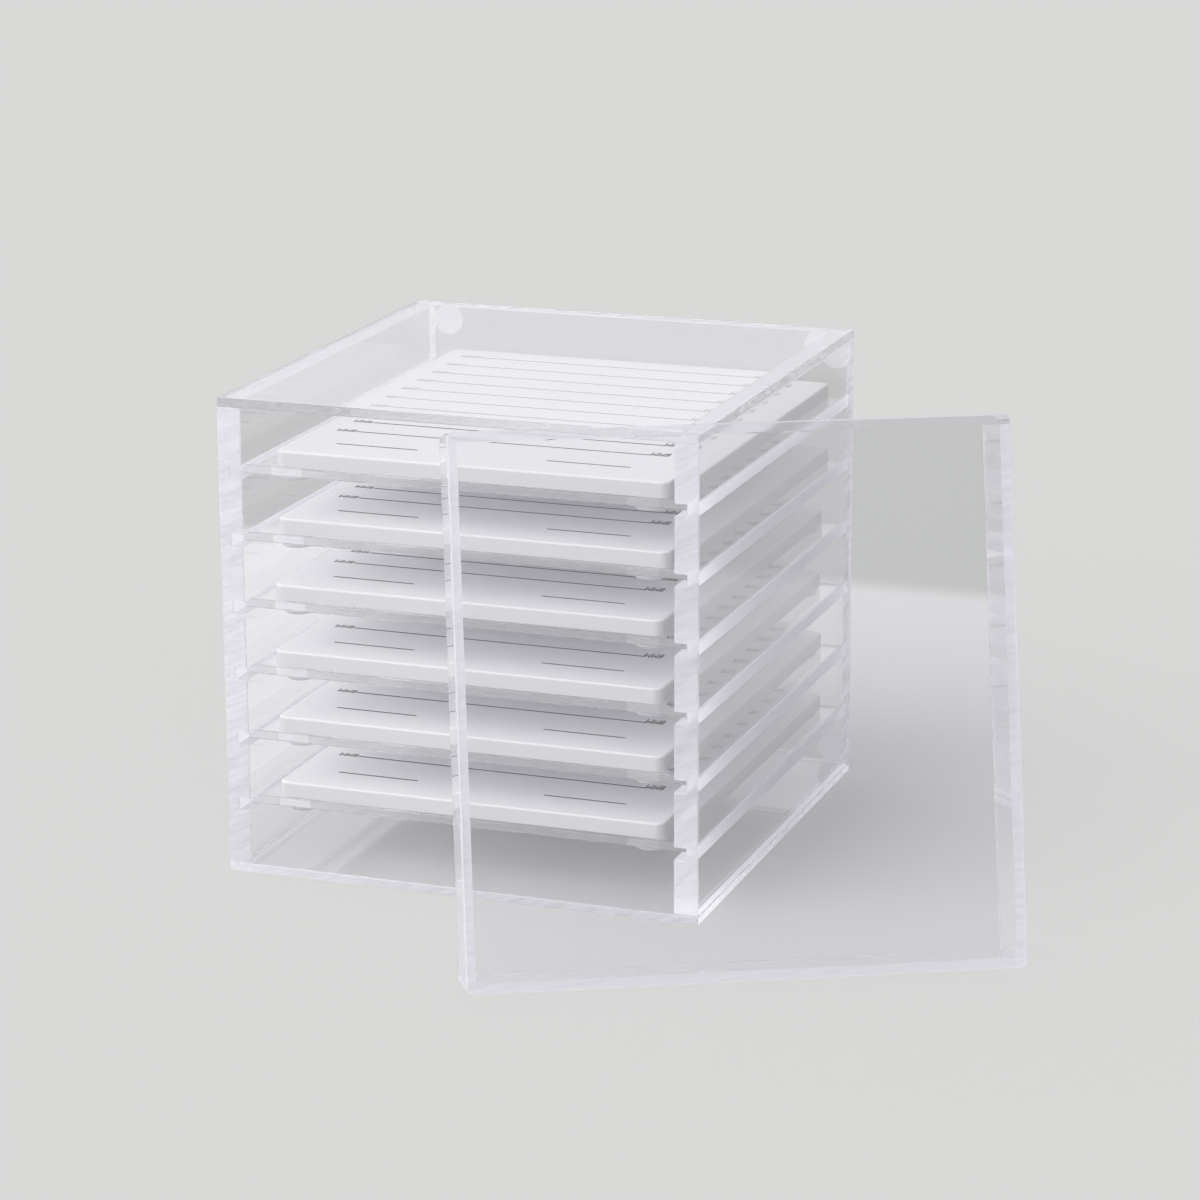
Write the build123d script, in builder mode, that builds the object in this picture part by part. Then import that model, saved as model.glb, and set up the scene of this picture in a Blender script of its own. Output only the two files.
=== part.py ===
from build123d import *

import os
from math import atan, cos, degrees, radians, sin

# A storage case for false eyelashes, in clear acrylic sheet: a cabinet open at the front, sliding trays that
# each carry a white lash tile, and a shallow cover that slips over the cabinet's front. The cover stands
# beside the cabinet, leaning against its front right corner.
# Sizes are in millimetres. The origin is the middle of the cabinet's underside, the open front faces -Y,
# the back faces +Y and up is +Z. Trays are numbered from the top one down.

# Sheet stock, and what every piece cut from it shares
sheet_thickness = 3.0
side_thickness = 8.0
bond_gap = 0.05
edge_break = 0.4

# Lash tile
tile_width = 131.5
tile_depth = 152.0
tile_thickness = 5.0
tile_corner_radius = 3.0
tile_edge_radius = 0.8

# How far each loose tile lies to the right of its tray's middle, from the top tray down
tile_offsets = [1.8, 1.8, -0.2, -0.5, 0.0, 0.0]
tray_count = len(tile_offsets)

# Tray plate, and the space round it
plate_thickness = 3.0
plate_front_lip = 1.0
plate_rear_lip = 2.0
tray_setback = 7.0
tray_rear_clearance = 1.0
tile_side_gap = 6.25
tray_pitch = 22.0

# Grooves in the side sheets, which the tray plates run in
groove_depth = 4.0
groove_play = 1.0
plate_side_clearance = 0.5
plate_floor_clearance = 0.3
bottom_bay_height = 18.0
top_bay_height = 19.0

# Round clear bumpers, under the trays and on the cabinet's back
foot_radius = 5.25
foot_height = 2.0
foot_round = 1.5
foot_side_inset = 16.0
foot_end_inset = 7.5
bumper_side_inset = 12.0
bumper_end_inset = 8.5

# Slip-over cover
cover_thickness = 3.0
cover_clearance = 1.0
cover_depth = 26.5
cover_corner_radius = 2.0

# Where the cover leans: its turn from the cabinet's front, its foot's distance from the cabinet's corner,
# and how far along its width it meets that corner
cover_turn = 27.2
cover_stand_off = 40.0
cover_overlap = 78.3
lean_gap = 0.3

# Cabinet sizes that follow from the tiles, the trays and the sheets
groove_height = plate_thickness + groove_play
inner_width = tile_width + 2 * tile_side_gap
case_width = inner_width + 2 * side_thickness
plate_width = inner_width + 2 * (groove_depth - plate_side_clearance)
plate_depth = tile_depth + plate_front_lip + plate_rear_lip
case_depth = tray_setback + plate_depth + tray_rear_clearance + sheet_thickness
inner_height = bottom_bay_height + (tray_count - 1) * tray_pitch + groove_height + top_bay_height
case_height = inner_height + 2 * sheet_thickness
front_y = -case_depth / 2
back_y = case_depth / 2
top_sheet_z = case_height - sheet_thickness
upright_height = inner_height - 2 * bond_gap
upright_mid_z = case_height / 2
tray_mid_y = front_y + tray_setback + plate_depth / 2
tile_mid_y = front_y + tray_setback + plate_front_lip + tile_depth / 2

# Cover sizes and the plane of its rim, with x along its width, y up its slope and z out through its front
cover_width = case_width + 2 * (cover_clearance + cover_thickness)
cover_height = case_height + 2 * (cover_clearance + cover_thickness)
rim_depth = cover_depth - cover_thickness
cover_lean = degrees(atan((cover_stand_off - lean_gap) / case_height))
cover_along = Vector(cos(radians(cover_turn)), sin(radians(cover_turn)), 0)
cover_outward = Vector(sin(radians(cover_turn)), -cos(radians(cover_turn)), 0)
rim_normal = cover_outward * cos(radians(cover_lean)) + Vector(0, 0, 1) * sin(radians(cover_lean))
leaned_on = Vector(case_width / 2, front_y, 0)
cover_foot = leaned_on + cover_outward * cover_stand_off - cover_along * cover_overlap
rim_plane = Plane(origin=cover_foot, x_dir=cover_along, z_dir=rim_normal)

os.makedirs("parts", exist_ok=True)


def groove_floor(tray):
    """Height of the groove that a tray runs in."""
    return sheet_thickness + bottom_bay_height + (tray_count - tray) * tray_pitch


def plate_floor(tray):
    """Height of a tray plate's underside."""
    return groove_floor(tray) + plate_floor_clearance


def save(piece, name):
    """Names a finished piece and writes it."""
    piece.part.label = name
    export_step(piece.part, f"parts/{name}.step")


# Top sheet, over the side sheets and the back
with BuildPart() as top_panel:
    with BuildSketch(Plane.XY.offset(top_sheet_z)):
        Rectangle(case_width, case_depth)
    extrude(amount=sheet_thickness)
    chamfer(top_panel.edges(), edge_break)
save(top_panel, "top_panel")

# Base sheet, under the side sheets and the back
with BuildPart() as base_panel:
    with BuildSketch(Plane.XY):
        Rectangle(case_width, case_depth)
    extrude(amount=sheet_thickness)
    chamfer(base_panel.edges(), edge_break)
save(base_panel, "base_panel")

# Back sheet, behind the side sheets
with BuildPart() as back_panel:
    with BuildSketch(Plane.XZ.offset(-back_y)):
        with Locations((0, upright_mid_z)):
            Rectangle(case_width, upright_height)
    extrude(amount=sheet_thickness)
    chamfer(back_panel.edges(), edge_break)
save(back_panel, "back_panel")

# Thick side sheets, with one groove for each tray, open at the front
for side, side_name in ((-1, "left_side_panel"), (1, "right_side_panel")):
    side_mid_x = side * (inner_width + side_thickness) / 2
    groove_mid_x = side * (inner_width + groove_depth) / 2
    groove_middles = [groove_floor(tray) + groove_height / 2 for tray in range(1, tray_count + 1)]
    with BuildPart() as side_panel:
        with BuildSketch(Plane.XZ.offset(-front_y)):
            with Locations((side_mid_x, upright_mid_z)):
                Rectangle(side_thickness, upright_height)
            with Locations(*[(groove_mid_x, middle) for middle in groove_middles]):
                Rectangle(groove_depth, groove_height, mode=Mode.SUBTRACT)
        extrude(amount=-(case_depth - sheet_thickness - bond_gap))
        outer_face = side_panel.faces().sort_by(Axis.X)[-1 if side > 0 else 0]
        front_face = side_panel.faces().sort_by(Axis.Y)[0]
        chamfer(outer_face.edges() + front_face.edges(), edge_break)
    save(side_panel, side_name)

# Bumpers on the back sheet's corners, which the cabinet can lie on
bumper_plane = Plane(origin=(0, back_y + bond_gap, case_height / 2), x_dir=(-1, 0, 0), z_dir=(0, 1, 0))
with BuildPart() as back_bumpers:
    with BuildSketch(bumper_plane):
        with GridLocations(case_width - 2 * bumper_side_inset, case_height - 2 * bumper_end_inset, 2, 2):
            Circle(foot_radius)
    extrude(amount=foot_height)
    fillet(back_bumpers.edges().group_by(Axis.Y)[-1], foot_round)
save(back_bumpers, "back_bumpers")

# Trays: a clear plate, a loose white tile on it and four bumpers under it
for tray in range(1, tray_count + 1):
    plate_top = plate_floor(tray) + plate_thickness

    with BuildPart() as tray_plate:
        with BuildSketch(Plane.XY.offset(plate_floor(tray))):
            with Locations((0, tray_mid_y)):
                Rectangle(plate_width, plate_depth)
        extrude(amount=plate_thickness)
        chamfer(tray_plate.edges(), edge_break)
    save(tray_plate, f"tray_plate_{tray}")

    with BuildPart() as lash_tile:
        with BuildSketch(Plane.XY.offset(plate_top + bond_gap)):
            with Locations((tile_offsets[tray - 1], tile_mid_y)):
                RectangleRounded(tile_width, tile_depth, tile_corner_radius)
        extrude(amount=tile_thickness)
        fillet(lash_tile.edges().group_by(Axis.Z)[-1], tile_edge_radius)
    save(lash_tile, f"lash_tile_{tray}")

    with BuildPart() as tray_feet:
        with BuildSketch(Plane.XY.offset(plate_floor(tray) - bond_gap)):
            with Locations((0, tray_mid_y)):
                with GridLocations(plate_width - 2 * foot_side_inset, plate_depth - 2 * foot_end_inset, 2, 2):
                    Circle(foot_radius)
        extrude(amount=-foot_height)
        fillet(tray_feet.edges().group_by(Axis.Z)[0], foot_round)
    save(tray_feet, f"tray_feet_{tray}")

# Cover front sheet
with BuildPart() as cover_front_sheet:
    with BuildSketch(rim_plane.offset(rim_depth)):
        with Locations((cover_width / 2, cover_height / 2)):
            RectangleRounded(cover_width, cover_height, cover_corner_radius)
    extrude(amount=cover_thickness)
    outward = Axis(rim_plane.origin, rim_plane.z_dir)
    chamfer(cover_front_sheet.faces().sort_by(outward)[-1].edges(), edge_break)
save(cover_front_sheet, "cover_front_sheet")

# Cover top and bottom walls, the full width, with their outer corners rounded like the front sheet's
for wall_name, wall_mid_y, outer_row in (
    ("cover_bottom_wall", cover_thickness / 2, 0),
    ("cover_top_wall", cover_height - cover_thickness / 2, -1),
):
    with BuildPart() as cover_wall:
        with BuildSketch(rim_plane) as wall_section:
            with Locations((cover_width / 2, wall_mid_y)):
                Rectangle(cover_width, cover_thickness)
            fillet(wall_section.vertices().group_by(Axis.Y)[outer_row], cover_corner_radius)
        extrude(amount=rim_depth - bond_gap)
    save(cover_wall, wall_name)

# Cover left and right walls, between the top and bottom ones
for wall_name, wall_mid_x in (
    ("cover_left_wall", cover_thickness / 2),
    ("cover_right_wall", cover_width - cover_thickness / 2),
):
    with BuildPart() as cover_wall:
        with BuildSketch(rim_plane):
            with Locations((wall_mid_x, cover_height / 2)):
                Rectangle(cover_thickness, cover_height - 2 * (cover_thickness + bond_gap))
        extrude(amount=rim_depth - bond_gap)
    save(cover_wall, wall_name)
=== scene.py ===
import math
from collections import namedtuple

import bmesh
import bpy
from mathutils import Matrix, Vector


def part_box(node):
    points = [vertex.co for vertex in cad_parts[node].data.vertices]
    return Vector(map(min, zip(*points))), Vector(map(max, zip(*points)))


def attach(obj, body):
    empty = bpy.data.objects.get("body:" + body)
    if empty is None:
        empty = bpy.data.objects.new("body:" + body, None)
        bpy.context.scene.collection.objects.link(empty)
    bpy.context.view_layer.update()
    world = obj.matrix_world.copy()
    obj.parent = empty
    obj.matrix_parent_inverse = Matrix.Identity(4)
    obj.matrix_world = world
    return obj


# A clear acrylic storage case for false eyelashes, with its slip-over cover leaning against its front right
# corner. All lengths are in metres, in the frame of the solids. Left and right are as seen from the open
# front.
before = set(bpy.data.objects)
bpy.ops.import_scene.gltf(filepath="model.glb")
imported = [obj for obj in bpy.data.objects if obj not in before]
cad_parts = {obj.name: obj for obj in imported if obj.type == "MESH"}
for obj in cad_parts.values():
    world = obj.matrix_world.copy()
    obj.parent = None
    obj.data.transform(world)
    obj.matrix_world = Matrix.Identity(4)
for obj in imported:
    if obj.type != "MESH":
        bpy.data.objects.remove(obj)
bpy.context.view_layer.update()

MM = 0.001
TRAYS = range(1, 7)
PLATES = [f"tray_plate_{tray}" for tray in TRAYS]
TILES = [f"lash_tile_{tray}" for tray in TRAYS]
FEET = [f"tray_feet_{tray}" for tray in TRAYS]
COVER_SIDE_WALLS = ["cover_left_wall", "cover_right_wall"]

ALONG_X = Vector((1.0, 0.0, 0.0))
ALONG_Y = Vector((0.0, 1.0, 0.0))
ALONG_Z = Vector((0.0, 0.0, 1.0))

# How the cover stands: its turn from the cabinet's front and its lean back from upright
COVER_TURN = math.radians(27.2)
COVER_LEAN = math.radians(14.19)
COVER_ALONG = Vector((math.cos(COVER_TURN), math.sin(COVER_TURN), 0.0))
COVER_LEVEL_OUT = Vector((math.sin(COVER_TURN), -math.cos(COVER_TURN), 0.0))
COVER_OUT = COVER_LEVEL_OUT * math.cos(COVER_LEAN) + ALONG_Z * math.sin(COVER_LEAN)
COVER_UP = COVER_OUT.cross(COVER_ALONG)

# Clear acrylic: its tint, the tint of light that passes through it, and the faint waves and wear of its faces
ACRYLIC_IOR = 1.49
FACE_TINT = (0.985, 0.982, 0.992)
PASSING_TINT = (0.99, 0.99, 0.992)
WAVE_SCALE = 18.0
WAVE_DETAIL = 1.0
WAVE_STRENGTH = 0.03
WAVE_DEPTH = 0.3 * MM
WEAR_SCALE = 60.0
FACE_ROUGHNESS = 0.012
CUT_ROUGHNESS = 0.08

# A surface is a polished face where the cosine of its turn from the sheet's is at least FACE_COSINE, a cut
# edge where it is less than CUT_COSINE, and a bevel in between
FACE_COSINE = 0.9
CUT_COSINE = 0.5

# Frosting of each kind of sheet: its least and most share on the cut edges, its share on their bevels, how
# much of its light comes through from inside the sheet, and a faint haze on the faces, which is painted light
# that stands in for the bright surroundings reflected inside the sheet
Frost = namedtuple("Frost", "least most bevel through haze", defaults=(0.0,))
# The right side sheet's cut edges are frosted more than the left's: painted light on its shaded side
LEFT_SIDE_FROST = Frost(0.36, 0.56, 0.45, 0.5)
RIGHT_SIDE_FROST = Frost(0.50, 0.70, 0.5, 0.5)
BACK_FROST = Frost(0.50, 0.70, 0.6, 0.5)
TOP_FROST = Frost(0.36, 0.50, 0.30, 0.3)
BASE_FROST = Frost(0.62, 0.82, 0.5, 0.7)
PLATE_FROST = Frost(0.66, 0.74, 0.40, 0.2)
COVER_FRONT_FROST = Frost(0.45, 0.55, 0.6, 0.5)
COVER_TOP_FROST = Frost(0.0, 0.08, 0.15, 0.5)
# The cover walls' haze is painted light, for the bright surroundings reflected inside the walls
COVER_WALL_FROST = Frost(0.50, 0.58, 0.6, 0.5, haze=0.18)
FROST_COLOUR = (0.95, 0.938, 0.985)
# The grey frost colour is painted shade: it stands for the shaded inside seen in the plates' and top sheet's
# cut edges
PAINTED_SHADE_FROST_COLOUR = (0.57, 0.565, 0.585)

# Saw marks on the cut edges: long thin streaks, rising to the right at about 25 degrees on edges that face
# front. The frosting goes from its least to its most between these two heights of the streaks' noise.
STREAK_TILT = (math.radians(-26.7), math.radians(-24.5), 0.0)
STREAK_SIZE = (30.0 * MM, 30.0 * MM, 2.2 * MM)
STREAK_DETAIL = 1.0
STREAK_LOW = 0.35
STREAK_HIGH = 0.65

# Painted light: milled faces on the shaded side, and the base's left and right edges, are painted brighter,
# as if they gathered light from along their sheets
LEFT_MILLED_PAINTED_LIGHT_GAIN = 1.0
RIGHT_MILLED_PAINTED_LIGHT_GAIN = 1.2
BASE_SIDE_PAINTED_LIGHT_GAIN = 1.5

# The side sheets' lower ends, with their painted light over other milled faces, lighter on the shaded right
# and a little darker on the left, and their bonded top ends
SHEET_FOOT_Z = 5.0 * MM
LEFT_FOOT_PAINTED_LIGHT_GAIN = 0.85
RIGHT_FOOT_PAINTED_LIGHT_GAIN = 1.5
BONDED_END_SHARE = 0.4

# Floors and walls of the grooves in the side sheets, which are milled and so frosted
GROOVE_DEPTH = 4.0 * MM
GROOVE_FLOOR_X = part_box("right_side_panel")[0].x + GROOVE_DEPTH
GROOVE_FLOOR_TOLERANCE = 0.5 * MM
GROOVES_TOP_Z = 145.0 * MM
# The right sheet's grooves are frosted more than the left's: painted light on its shaded side
LEFT_GROOVE_FROST = 0.6
RIGHT_GROOVE_FROST = 0.95
GROOVE_EXTRA_THROUGH = 0.4

# Painted light and shade along the cut edges from left to right. The tray plates' edges are painted lighter
# at their left ends and darker towards the right, and the top sheet's front edge is painted lighter at the
# right, where the white tile stands behind it.
Fade = namedtuple("Fade", "left_x left_gain right_x right_gain")
PLATE_PAINTED_LIGHT_FADE = Fade(-70.0 * MM, 1.38, -15.0 * MM, 0.85)
TOP_PAINTED_LIGHT_FADE = Fade(-30.0 * MM, 1.0, 25.0 * MM, 1.3)

# Painted light: the plates' edges are painted paler in front of the feet, which show through them
FOOT_X = 59.5 * MM
FOOT_RADIUS = 5.25 * MM
PAINTED_LIGHT_BY_FEET_GAIN = 1.2

# Soft rubber of the bumpers and feet, and the share of it that scatters light
RUBBER_IOR = 1.46
RUBBER_TINT = (0.93, 0.93, 0.95)
RUBBER_CLARITY = 0.9
RUBBER_PASSING_TINT = (0.85, 0.85, 0.87)
RUBBER_GRAIN_SCALE = 400.0
RUBBER_ROUGHNESS = (0.08, 0.2)
RUBBER_MILKINESS = 0.85
RUBBER_THROUGH = 0.5
BUMPER_COLOUR = (0.95, 0.94, 0.96)
FOOT_COLOUR = (0.78, 0.77, 0.79)

# White of the lash tiles on top, the painted shade that greys the faces turning away from level, and the
# tiles' faint mottle
TILE_COLOUR = (0.925, 0.922, 0.935)
TILE_PAINTED_SHADE_COLOUR = (0.64, 0.637, 0.652)
TILE_MOTTLE_SCALE = 40.0
TILE_MOTTLE_DEPTH = 0.06
TILE_ROUGHNESS = (0.42, 0.52)

# Printing ink
INK_COLOURS = ((0.02, 0.023, 0.03), (0.05, 0.055, 0.07))
INK_GRAIN_SCALE = 900.0
INK_ROUGHNESS = 0.7
INK_SHEEN = 0.15

# Printed layout of a lash tile, measured from the cabinet's middle
PRINT_SHIFT = -1.4 * MM
SHORT_LINE_Y = -60.0 * MM
SHORT_LINE_INNER_X = 21.8 * MM
SHORT_LINE_OUTER_X = 49.5 * MM
FIRST_LINE_Y = -42.5 * MM
LINE_PITCH = 13.5 * MM
LINE_COUNT = 9
LINE_HALF_LENGTH = 50.0 * MM
LINE_WIDTH = 0.6 * MM
INK_THICKNESS = 0.04 * MM
INK_SINK = 0.02 * MM

# Labels at both ends of each long line: lengths in millimetres, one more for each line
FIRST_LABEL = 8
LABEL_SIZE = 2.4 * MM
LABEL_LENGTH = 6.2 * MM
LABEL_CURVE_STEPS = 2
LEFT_LABEL_X = -50.5 * MM
RIGHT_LABEL_X = 56.0 * MM
LEFT_LABEL_STRETCH = 1.75
RIGHT_LABEL_STRETCH = 2.6
LEFT_LABEL_BASELINE_Y = 2.0 * MM
RIGHT_LABEL_BASELINE_Y = 3.7 * MM

# Camera: a long lens in front of the cabinet, to its right and a little above it
CAMERA_PLACE = Vector((446.15, -1179.96, 428.14)) * MM
CAMERA_RIGHT = Vector((0.94038, 0.34010, -0.00373))
CAMERA_DOWN = Vector((0.08800, -0.25389, -0.96322))
LENS_LENGTH = 118.31
SENSOR_WIDTH = 36.0
CAMERA_REACH = 50.0

# Background, and the wall and overhead that glass shows in its place. The wall is a little darker, shaded
# toward the front and lifted toward the left.
BACKGROUND = (0.701, 0.701, 0.687)
WALL_COLOUR = (0.545, 0.552, 0.548)
OVERHEAD_COLOUR = (0.96, 0.95, 1.00)
WALL_TOP_HEIGHT = 0.05
OVERHEAD_HEIGHT = 0.32
FRONT_SIDE_SHADE = 0.72
FRONT_SIDE_REACH = (-0.6, 0.1)
LEFT_SIDE_LIFT = 1.12
LEFT_SIDE_REACH = (0.1, -0.5)

# Table as glass shows it: its tone near and far, lighter far away, which is painted light, its painted light
# at the left, and where it ends in front of the wall
TABLE_NEAR_COLOUR = (0.73, 0.73, 0.722)
TABLE_FAR_COLOUR = (0.79, 0.79, 0.78)
TABLE_NEAR_Y = -0.10
TABLE_FAR_Y = 0.28
TABLE_LEFT_X = -0.12
TABLE_RIGHT_X = -0.075
TABLE_LEFT_PAINTED_LIGHT = 1.18
TABLE_BACK_EDGE = 0.32
TABLE_EDGE_SOFTNESS = 0.014

# Painted shadow on the table under the cabinet's left, and a little painted light under its right
UNDER_CASE_LEFT_X = -0.062
UNDER_CASE_RIGHT_X = -0.02
UNDER_CASE_PAINTED_SHADOW_GAIN = 0.80
UNDER_CASE_PAINTED_LIGHT_GAIN = 1.06
UNDER_CASE_HALF_WIDTH = 0.078
UNDER_CASE_EDGE_SOFTNESS = 0.012

# Table as the camera sees it: the plain background, with this share of a shaded table
TABLE_SEEN_COLOUR = (0.725, 0.725, 0.71)
TABLE_SHADOW_SHARE = 0.4
FLOOR_HALF_WIDTH = 6.0
FLOOR_DROP = 0.05 * MM

# Ambient light, faintly violet and strongest from the front left, and a soft key light from there
AMBIENT_COLOUR = (1.0, 0.99, 1.03)
AMBIENT_FROM = Vector((-0.60, -0.75, 0.28))
AMBIENT_REACH = (-0.6, 0.9)
AMBIENT_LEAST = 0.34
AMBIENT_MOST = 1.20
KEY_COLOUR = (1.0, 0.99, 0.96)
KEY_STRENGTH = 1.0
KEY_ANGLE = 60.0
KEY_FROM = Vector((-0.60, -0.65, 0.48))

# Bounces enough for light to cross several sheets, and to run along inside one from end to end
SHEET_BOUNCES = 64
MATT_BOUNCES = 16


def rgba(colour):
    """A colour with full opacity."""
    return (*colour, 1.0)


class Shader:
    """A node tree, with short ways to add the nodes that it is made of."""

    def __init__(self, tree, output_kind):
        self.tree = tree
        self.tree.nodes.clear()
        self.output = self.tree.nodes.new(output_kind)

    def node(self, kind, inputs, **settings):
        """A node with its settings. Each input is linked to a socket, or set to a plain value."""
        node = self.tree.nodes.new(kind)
        for name, value in settings.items():
            setattr(node, name, value)
        for key, value in inputs.items():
            if isinstance(value, bpy.types.NodeSocket):
                self.tree.links.new(value, node.inputs[key])
            else:
                node.inputs[key].default_value = value
        return node

    def source(self, kind, output):
        """An output of a node that has no inputs."""
        return self.node(kind, {}).outputs[output]

    def calc(self, operation, *values, clamp=False):
        """A math node on sockets or numbers."""
        inputs = dict(enumerate(values))
        return self.node("ShaderNodeMath", inputs, operation=operation, use_clamp=clamp).outputs[0]

    def gain(self, mask, most):
        """One where mask is zero, and most where mask is one."""
        return self.calc("MULTIPLY_ADD", mask, most - 1.0, 1.0)

    def dot(self, vector, direction):
        """How far a vector points along a fixed direction."""
        inputs = {0: vector, 1: direction}
        return self.node("ShaderNodeVectorMath", inputs, operation="DOT_PRODUCT").outputs["Value"]

    def along(self, normal, direction):
        """The same, counting both ways alike."""
        return self.calc("ABSOLUTE", self.dot(normal, direction))

    def parts(self, vector):
        """A vector's X, Y and Z."""
        return self.node("ShaderNodeSeparateXYZ", {0: vector}).outputs

    def scaled(self, colour, factor):
        """A colour times a factor."""
        return self.node("ShaderNodeVectorMath", {0: colour, "Scale": factor}, operation="SCALE").outputs[0]

    def noise(self, place, scale, detail=2.0):
        """Noise in the part's own frame."""
        inputs = {"Vector": place, "Scale": scale, "Detail": detail}
        return self.node("ShaderNodeTexNoise", inputs).outputs["Fac"]

    def spread(self, value, reach, span, smooth=False):
        """A value between the two ends of reach, brought to the two ends of span."""
        inputs = {"Value": value}
        inputs.update(zip(("From Min", "From Max"), reach))
        inputs.update(zip(("To Min", "To Max"), span))
        blend = "SMOOTHSTEP" if smooth else "LINEAR"
        return self.node("ShaderNodeMapRange", inputs, interpolation_type=blend).outputs["Result"]

    def blend(self, share, first, second):
        """A colour between two plain ones."""
        inputs = {"Factor": share, "A": rgba(first), "B": rgba(second)}
        return self.node("ShaderNodeMix", inputs, data_type="RGBA").outputs["Result"]

    def mix(self, share, first, second):
        """One surface over another, with the second one's share."""
        return self.node("ShaderNodeMixShader", {0: share, 1: first, 2: second}).outputs[0]

    def surface(self, kind, **inputs):
        """A shader node's surface, its inputs named with underscores for spaces."""
        named = {name.replace("_", " "): value for name, value in inputs.items()}
        return self.node(kind, named).outputs[0]

    def light_paths(self, first, second):
        """One for rays of either of two kinds."""
        path = self.node("ShaderNodeLightPath", {}).outputs
        return self.calc("MAXIMUM", path[first], path[second])

    def let_light_pass(self, surface, tint):
        """The surface, which shadow rays and rays from matt surfaces cross as they would a tinted film."""
        film = self.surface("ShaderNodeBsdfTransparent", Color=rgba(tint))
        return self.mix(self.light_paths("Is Shadow Ray", "Is Diffuse Ray"), surface, film)

    def finish(self, surface):
        """Ends the tree in a surface."""
        self.tree.links.new(surface, self.output.inputs["Surface"])


def new_material(name):
    """An empty material and its shader."""
    material = bpy.data.materials.new(name)
    material.use_nodes = True
    return material, Shader(material.node_tree, "ShaderNodeOutputMaterial")


def polished_acrylic(shader, position, on_edge):
    """Clear acrylic with faint waves and wear, a little rougher on the edges."""
    wave = shader.noise(position, WAVE_SCALE, WAVE_DETAIL)
    bump_inputs = {"Strength": WAVE_STRENGTH, "Distance": WAVE_DEPTH, "Height": wave}
    bump = shader.node("ShaderNodeBump", bump_inputs).outputs["Normal"]
    wear = shader.spread(shader.noise(position, WEAR_SCALE), (0.0, 1.0), (0.0, FACE_ROUGHNESS))
    roughness = shader.calc("ADD", wear, shader.calc("MULTIPLY", on_edge, CUT_ROUGHNESS))
    return shader.surface(
        "ShaderNodeBsdfPrincipled",
        Base_Color=rgba(FACE_TINT),
        IOR=ACRYLIC_IOR,
        Transmission_Weight=1.0,
        Roughness=roughness,
        Normal=bump,
    )


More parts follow.
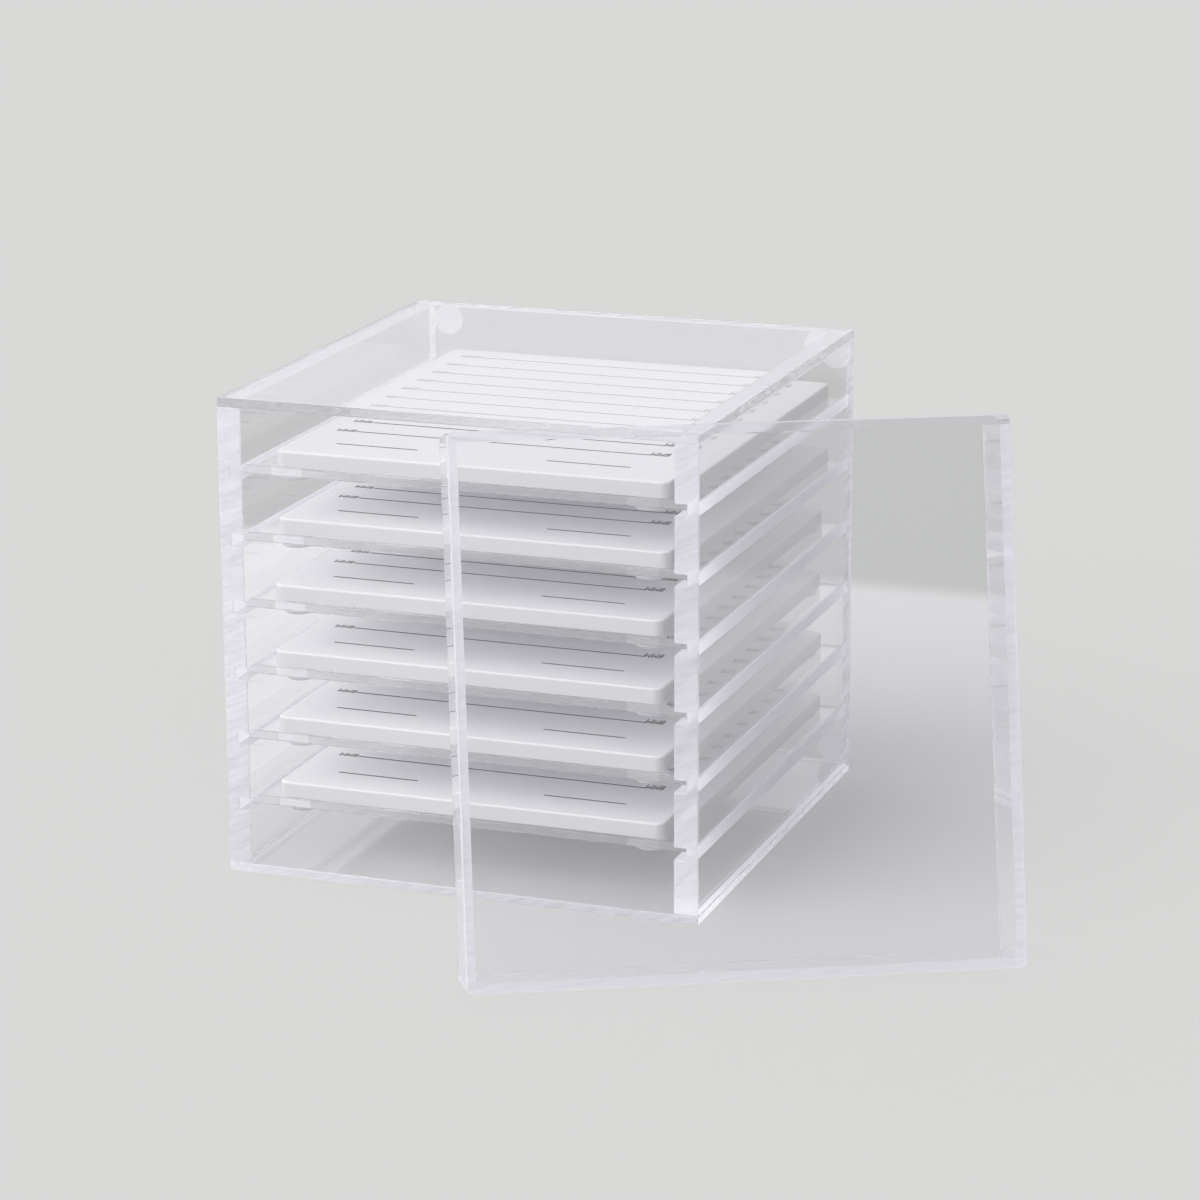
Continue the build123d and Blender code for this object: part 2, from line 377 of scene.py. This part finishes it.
def acrylic_material(
    name, face_normal, frost, frost_colour=FROST_COLOUR, milled=None, bright=None, fade=None, feet_seen=False
):
    """Clear acrylic sheet with polished faces, which point along face_normal, and lightly frosted cut edges.

    milled, where it is given, is the frosting of the grooves' floors and walls, and the further gain of
    painted light on the sheet's lower end. bright, where it is given, is a direction and a gain of painted
    light: faces along that direction, and the milled ones, are painted that much brighter. fade, where it is
    given, says how the cut edges' painted light and shade change from left to right. feet_seen paints those
    edges paler in front of the feet, as painted light.
    """
    material, shader = new_material(name)
    position = shader.source("ShaderNodeTexCoord", "Object")
    normal = shader.source("ShaderNodeNewGeometry", "Normal")
    place = shader.parts(position)

    on_face = shader.along(normal, face_normal)
    on_edge = shader.calc("LESS_THAN", on_face, FACE_COSINE)
    on_cut = shader.calc("LESS_THAN", on_face, CUT_COSINE)
    on_bevel = shader.calc("SUBTRACT", on_edge, on_cut)
    off_edge = shader.calc("SUBTRACT", 1.0, on_edge)

    slant_inputs = {"Vector": position, "Rotation": STREAK_TILT, "Scale": STREAK_SIZE}
    slant = shader.node("ShaderNodeMapping", slant_inputs, vector_type="TEXTURE").outputs["Vector"]
    streak = shader.noise(slant, 1.0, STREAK_DETAIL)
    frosting = shader.spread(streak, (STREAK_LOW, STREAK_HIGH), (frost.least, frost.most))
    cut_share = shader.calc("MULTIPLY", frosting, on_cut)
    bevel_share = shader.calc("MULTIPLY", on_bevel, frost.bevel)
    frost_share = shader.calc("ADD", cut_share, bevel_share)
    # Painted light: a faint white haze over the polished faces
    if frost.haze:
        frost_share = shader.calc("ADD", frost_share, shader.calc("MULTIPLY", off_edge, frost.haze))

    through = frost.through
    gain = None
    # Painted light: milled faces and faces along the given direction get a brighter frost colour, and the
    # sheet's lower end a further gain
    if bright is not None:
        direction, bright_gain = bright
        brighter = shader.calc("GREATER_THAN", shader.along(normal, direction), FACE_COSINE)
        foot = None
        if milled is not None:
            milled_frost, foot_gain = milled
            below_top = shader.calc("LESS_THAN", place["Z"], GROOVES_TOP_Z)
            level = shader.calc("MULTIPLY", brighter, below_top)
            bonded = shader.calc("SUBTRACT", brighter, level)
            frost_share = shader.calc("MULTIPLY", frost_share, shader.gain(bonded, BONDED_END_SHARE))
            aside = shader.calc("ABSOLUTE", place["X"])
            in_groove = shader.calc("COMPARE", aside, GROOVE_FLOOR_X, GROOVE_FLOOR_TOLERANCE)
            groove_floor = shader.calc("MULTIPLY", in_groove, off_edge)
            brighter = shader.calc("MAXIMUM", groove_floor, level)
            milled_share = shader.calc("MULTIPLY", brighter, milled_frost)
            frost_share = shader.calc("MAXIMUM", frost_share, milled_share)
            through = shader.calc("MULTIPLY_ADD", milled_share, GROOVE_EXTRA_THROUGH, frost.through)
            foot = shader.calc("MULTIPLY", shader.calc("LESS_THAN", place["Z"], SHEET_FOOT_Z), level)
        gain = shader.gain(brighter, bright_gain)
        if foot is not None:
            gain = shader.calc("MULTIPLY", gain, shader.gain(foot, foot_gain))
    # Painted light and shade from left to right along the cut edges
    if fade is not None:
        reach = (fade.left_x, fade.right_x)
        gain = shader.spread(place["X"], reach, (fade.left_gain, fade.right_gain), smooth=True)
    # Painted light in front of the feet
    if feet_seen:
        painted_foot_light_mask = shader.calc("COMPARE", shader.calc("ABSOLUTE", place["X"]), FOOT_X, FOOT_RADIUS)
        gain = shader.calc("MULTIPLY", gain, shader.gain(painted_foot_light_mask, PAINTED_LIGHT_BY_FEET_GAIN))
    colour = rgba(frost_colour) if gain is None else shader.scaled(frost_colour, gain)

    matt = shader.surface("ShaderNodeBsdfDiffuse", Color=colour)
    glow = shader.surface("ShaderNodeBsdfTranslucent", Color=colour)
    frosted = shader.mix(through, matt, glow)
    sheet = shader.mix(frost_share, polished_acrylic(shader, position, on_edge), frosted)
    shader.finish(shader.let_light_pass(sheet, PASSING_TINT))
    return material


def rubber_material(name, cloud_colour):
    """Soft cloudy rubber of the bumpers and feet."""
    material, shader = new_material(name)
    grain = shader.noise(shader.source("ShaderNodeTexCoord", "Object"), RUBBER_GRAIN_SCALE)
    rubber = shader.surface(
        "ShaderNodeBsdfPrincipled",
        Base_Color=rgba(RUBBER_TINT),
        IOR=RUBBER_IOR,
        Transmission_Weight=RUBBER_CLARITY,
        Roughness=shader.spread(grain, (0.0, 1.0), RUBBER_ROUGHNESS),
    )
    milk = shader.surface("ShaderNodeBsdfTranslucent", Color=rgba(cloud_colour))
    haze = shader.surface("ShaderNodeBsdfDiffuse", Color=rgba(cloud_colour))
    body = shader.mix(RUBBER_MILKINESS, rubber, shader.mix(RUBBER_THROUGH, milk, haze))
    shader.finish(shader.let_light_pass(body, RUBBER_PASSING_TINT))
    return material


def tile_material():
    """Satin opaque white acrylic, with painted shade that greys the faces turning away from level."""
    material, shader = new_material("white_acrylic_tile")
    mottle = shader.noise(shader.source("ShaderNodeTexCoord", "Object"), TILE_MOTTLE_SCALE)
    upward = shader.parts(shader.source("ShaderNodeNewGeometry", "Normal"))["Z"]
    # Painted shade: the less level a face, the more of the grey painted-shade colour it gets; the mottle is
    # the tile's own uneven tone
    level = shader.calc("MULTIPLY", upward, upward)
    shade = shader.calc("MULTIPLY_ADD", mottle, TILE_MOTTLE_DEPTH, -TILE_MOTTLE_DEPTH / 2)
    mottle_and_painted_light = shader.calc("ADD", level, shade, clamp=True)
    plastic = shader.surface(
        "ShaderNodeBsdfPrincipled",
        Base_Color=shader.blend(mottle_and_painted_light, TILE_PAINTED_SHADE_COLOUR, TILE_COLOUR),
        IOR=ACRYLIC_IOR,
        Roughness=shader.spread(mottle, (0.0, 1.0), TILE_ROUGHNESS),
    )
    shader.finish(plastic)
    return material


def ink_material():
    """Dark printed ink, a little uneven."""
    material, shader = new_material("printed_ink")
    grain = shader.noise(shader.source("ShaderNodeTexCoord", "Object"), INK_GRAIN_SCALE)
    ink = shader.surface(
        "ShaderNodeBsdfPrincipled",
        Base_Color=shader.blend(grain, *INK_COLOURS),
        Roughness=INK_ROUGHNESS,
        Specular_IOR_Level=INK_SHEEN,
    )
    shader.finish(ink)
    return material


def table_material():
    """A plain pale table, which the camera sees as one tone with the background. As glass shows it, it
    carries
    painted light and shade: lighter far away and at the left, and a painted shadow under the cabinet.
    """
    material, shader = new_material("pale_table")
    place = shader.parts(shader.source("ShaderNodeNewGeometry", "Position"))

    # Painted light: lighter far away and at the left
    far = shader.spread(place["Y"], (TABLE_NEAR_Y, TABLE_FAR_Y), (0.0, 1.0))
    tone = shader.blend(far, TABLE_NEAR_COLOUR, TABLE_FAR_COLOUR)
    left_gain = shader.spread(place["X"], (TABLE_LEFT_X, TABLE_RIGHT_X), (TABLE_LEFT_PAINTED_LIGHT, 1.0))
    # Painted shadow under the cabinet's left and a little painted light under its right
    case_reach = (UNDER_CASE_LEFT_X, UNDER_CASE_RIGHT_X)
    case_span = (UNDER_CASE_PAINTED_SHADOW_GAIN - 1.0, UNDER_CASE_PAINTED_LIGHT_GAIN - 1.0)
    case_painted_shadow_and_light = shader.spread(place["X"], case_reach, case_span, smooth=True)
    edge_reach = (UNDER_CASE_HALF_WIDTH, UNDER_CASE_HALF_WIDTH + UNDER_CASE_EDGE_SOFTNESS)
    for axis in ("X", "Y"):
        inside = shader.spread(shader.calc("ABSOLUTE", place[axis]), edge_reach, (1.0, 0.0), smooth=True)
        case_painted_shadow_and_light = shader.calc("MULTIPLY", case_painted_shadow_and_light, inside)
    table = shader.surface(
        "ShaderNodeBsdfDiffuse", Color=shader.scaled(tone, shader.calc("ADD", left_gain, case_painted_shadow_and_light))
    )

    wall = shader.surface("ShaderNodeEmission", Color=rgba(WALL_COLOUR))
    back_reach = (TABLE_BACK_EDGE - TABLE_EDGE_SOFTNESS, TABLE_BACK_EDGE + TABLE_EDGE_SOFTNESS)
    beyond = shader.spread(place["Y"], back_reach, (0.0, 1.0), smooth=True)
    in_glass = shader.light_paths("Is Glossy Ray", "Is Transmission Ray")
    real = shader.mix(shader.calc("MULTIPLY", beyond, in_glass), table, wall)

    flat = shader.surface("ShaderNodeEmission", Color=rgba(BACKGROUND))
    shaded = shader.surface("ShaderNodeBsdfDiffuse", Color=rgba(TABLE_SEEN_COLOUR))
    seen = shader.mix(TABLE_SHADOW_SHARE, flat, shaded)
    shader.finish(shader.mix(shader.source("ShaderNodeLightPath", "Is Camera Ray"), real, seen))
    return material


def dress(names, material):
    """Gives CAD nodes a material."""
    for name in names:
        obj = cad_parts[name]
        obj.data.materials.clear()
        obj.data.materials.append(material)


def add_bar(mesh, left, right, line_y, top):
    """A printed line as a thin closed bar, a little sunk into the tile's top."""
    low = Vector((left, line_y - LINE_WIDTH / 2, top - INK_SINK))
    high = Vector((right, line_y + LINE_WIDTH / 2, top + INK_THICKNESS))
    size = Matrix.Diagonal((*(high - low), 1.0))
    bmesh.ops.create_cube(mesh, size=1.0, matrix=Matrix.Translation((low + high) / 2) @ size)


def add_label(mesh, words, stretch, place):
    """The words as thin closed letters, squeezed in width, with their lower left corner at place's origin."""
    curve = bpy.data.curves.new("label", "FONT")
    curve.body = words
    curve.size = LABEL_SIZE
    curve.extrude = INK_THICKNESS / 2
    curve.resolution_u = LABEL_CURVE_STEPS
    holder = bpy.data.objects.new("label", curve)
    bpy.context.scene.collection.objects.link(holder)
    bpy.context.view_layer.update()
    letters = bpy.data.meshes.new_from_object(holder.evaluated_get(bpy.context.evaluated_depsgraph_get()))
    across = [corner.co.x for corner in letters.vertices]
    squeeze = LABEL_LENGTH / (max(across) - min(across))
    to_origin = Matrix.Translation((-min(across), 0.0, 0.0))
    letters.transform(place @ Matrix.Diagonal((squeeze, stretch, 1.0, 1.0)) @ to_origin)
    mesh.from_mesh(letters)
    bpy.data.meshes.remove(letters)
    bpy.data.objects.remove(holder)
    bpy.data.curves.remove(curve)


def print_layout(tray, ink):
    """The printed lines and labels of one tile. The labels are read from behind the cabinet."""
    low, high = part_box(f"lash_tile_{tray}")
    middle = (low.x + high.x) / 2 + PRINT_SHIFT
    mesh = bmesh.new()
    for side in (-1, 1):
        left, right = sorted((side * SHORT_LINE_INNER_X + middle, side * SHORT_LINE_OUTER_X + middle))
        add_bar(mesh, left, right, SHORT_LINE_Y, high.z)
    for row in range(LINE_COUNT):
        line_y = FIRST_LINE_Y + row * LINE_PITCH
        add_bar(mesh, middle - LINE_HALF_LENGTH, middle + LINE_HALF_LENGTH, line_y, high.z)
        for label_x, rise, stretch in (
            (LEFT_LABEL_X, LEFT_LABEL_BASELINE_Y, LEFT_LABEL_STRETCH),
            (RIGHT_LABEL_X, RIGHT_LABEL_BASELINE_Y, RIGHT_LABEL_STRETCH),
        ):
            spot = Matrix.Translation((middle + label_x, line_y + rise, high.z + INK_THICKNESS / 2))
            add_label(mesh, f"{FIRST_LABEL + row}MM", stretch, spot @ Matrix.Rotation(math.pi, 4, "Z"))
    data = bpy.data.meshes.new(f"tile_print_{tray}")
    mesh.to_mesh(data)
    mesh.free()
    data.materials.append(ink)
    piece = bpy.data.objects.new(f"tile_print_{tray}", data)
    bpy.context.scene.collection.objects.link(piece)
    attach(piece, f"tray_{tray}")


# Finishes
for side_sheet, side_frost, milled, milled_painted_light_gain in (
    ("left_side_panel", LEFT_SIDE_FROST, (LEFT_GROOVE_FROST, LEFT_FOOT_PAINTED_LIGHT_GAIN), LEFT_MILLED_PAINTED_LIGHT_GAIN),
    ("right_side_panel", RIGHT_SIDE_FROST, (RIGHT_GROOVE_FROST, RIGHT_FOOT_PAINTED_LIGHT_GAIN), RIGHT_MILLED_PAINTED_LIGHT_GAIN),
):
    side_acrylic = acrylic_material(
        f"acrylic_{side_sheet}", ALONG_X, side_frost, milled=milled, bright=(ALONG_Z, milled_painted_light_gain)
    )
    dress([side_sheet], side_acrylic)
plate_acrylic = acrylic_material(
    "acrylic_plate", ALONG_Z, PLATE_FROST, PAINTED_SHADE_FROST_COLOUR, fade=PLATE_PAINTED_LIGHT_FADE, feet_seen=True
)
dress(PLATES, plate_acrylic)
dress(["back_panel"], acrylic_material("acrylic_back", ALONG_Y, BACK_FROST))
dress(["top_panel"], acrylic_material("acrylic_top", ALONG_Z, TOP_FROST, PAINTED_SHADE_FROST_COLOUR, fade=TOP_PAINTED_LIGHT_FADE))
dress(["base_panel"], acrylic_material("acrylic_base", ALONG_Z, BASE_FROST, bright=(ALONG_X, BASE_SIDE_PAINTED_LIGHT_GAIN)))
dress(["cover_front_sheet"], acrylic_material("acrylic_cover_front", COVER_OUT, COVER_FRONT_FROST))
dress(["cover_top_wall"], acrylic_material("acrylic_cover_top_wall", COVER_UP, COVER_TOP_FROST))
dress(["cover_bottom_wall"], acrylic_material("acrylic_cover_bottom_wall", COVER_UP, COVER_WALL_FROST))
dress(COVER_SIDE_WALLS, acrylic_material("acrylic_cover_side_wall", COVER_ALONG, COVER_WALL_FROST))
dress(["back_bumpers"], rubber_material("rubber_bumper", BUMPER_COLOUR))
dress(FEET, rubber_material("rubber_foot", FOOT_COLOUR))
dress(TILES, tile_material())
printed_ink = ink_material()
for tray in TRAYS:
    print_layout(tray, printed_ink)

# Floor
floor_data = bpy.data.meshes.new("floor")
floor_mesh = bmesh.new()
bmesh.ops.create_grid(floor_mesh, x_segments=1, y_segments=1, size=FLOOR_HALF_WIDTH)
floor_mesh.to_mesh(floor_data)
floor_mesh.free()
floor_data.materials.append(table_material())
floor = bpy.data.objects.new("floor", floor_data)
floor.location.z = -FLOOR_DROP
bpy.context.scene.collection.objects.link(floor)

# World: ambient light, a plain background for the camera, and the wall and overhead that glass shows
world = bpy.data.worlds.new("studio")
bpy.context.scene.world = world
world.use_nodes = True
studio = Shader(world.node_tree, "ShaderNodeOutputWorld")
way = studio.source("ShaderNodeTexCoord", "Generated")
way_parts = studio.parts(way)
toward_light = studio.dot(way, AMBIENT_FROM.normalized())
ambient_strength = studio.spread(toward_light, AMBIENT_REACH, (AMBIENT_LEAST, AMBIENT_MOST))
ambient = studio.surface("ShaderNodeBackground", Color=rgba(AMBIENT_COLOUR), Strength=ambient_strength)
upward = studio.spread(way_parts["Z"], (WALL_TOP_HEIGHT, OVERHEAD_HEIGHT), (0.0, 1.0), smooth=True)
front_shade = studio.spread(way_parts["Y"], FRONT_SIDE_REACH, (FRONT_SIDE_SHADE, 1.0), smooth=True)
left_lift = studio.spread(way_parts["X"], LEFT_SIDE_REACH, (1.0, LEFT_SIDE_LIFT))
room = studio.surface(
    "ShaderNodeBackground",
    Color=studio.blend(upward, WALL_COLOUR, OVERHEAD_COLOUR),
    Strength=studio.calc("MULTIPLY", front_shade, left_lift),
)
backdrop = studio.surface("ShaderNodeBackground", Color=rgba(BACKGROUND))
unseen = studio.mix(studio.light_paths("Is Glossy Ray", "Is Transmission Ray"), ambient, room)
studio.finish(studio.mix(studio.source("ShaderNodeLightPath", "Is Camera Ray"), unseen, backdrop))

# Key light
key_data = bpy.data.lights.new("key", "SUN")
key_data.energy = KEY_STRENGTH
key_data.color = KEY_COLOUR
key_data.angle = math.radians(KEY_ANGLE)
key = bpy.data.objects.new("key", key_data)
key.rotation_euler = KEY_FROM.to_track_quat("Z", "Y").to_euler()
bpy.context.scene.collection.objects.link(key)

# Camera
camera_data = bpy.data.cameras.new("camera")
camera_data.lens = LENS_LENGTH
camera_data.sensor_width = SENSOR_WIDTH
camera_data.clip_end = CAMERA_REACH
camera = bpy.data.objects.new("camera", camera_data)
camera_back = CAMERA_RIGHT.cross(-CAMERA_DOWN)
camera_axes = Matrix((CAMERA_RIGHT, -CAMERA_DOWN, camera_back)).transposed()
camera.matrix_world = Matrix.Translation(CAMERA_PLACE) @ camera_axes.to_4x4()
bpy.context.scene.collection.objects.link(camera)
bpy.context.scene.camera = camera

# Light bounces
cycles = bpy.context.scene.cycles
cycles.max_bounces = SHEET_BOUNCES
cycles.transmission_bounces = SHEET_BOUNCES
cycles.transparent_max_bounces = SHEET_BOUNCES
cycles.glossy_bounces = SHEET_BOUNCES
cycles.diffuse_bounces = MATT_BOUNCES

bpy.context.scene.view_settings.view_transform = "Standard"
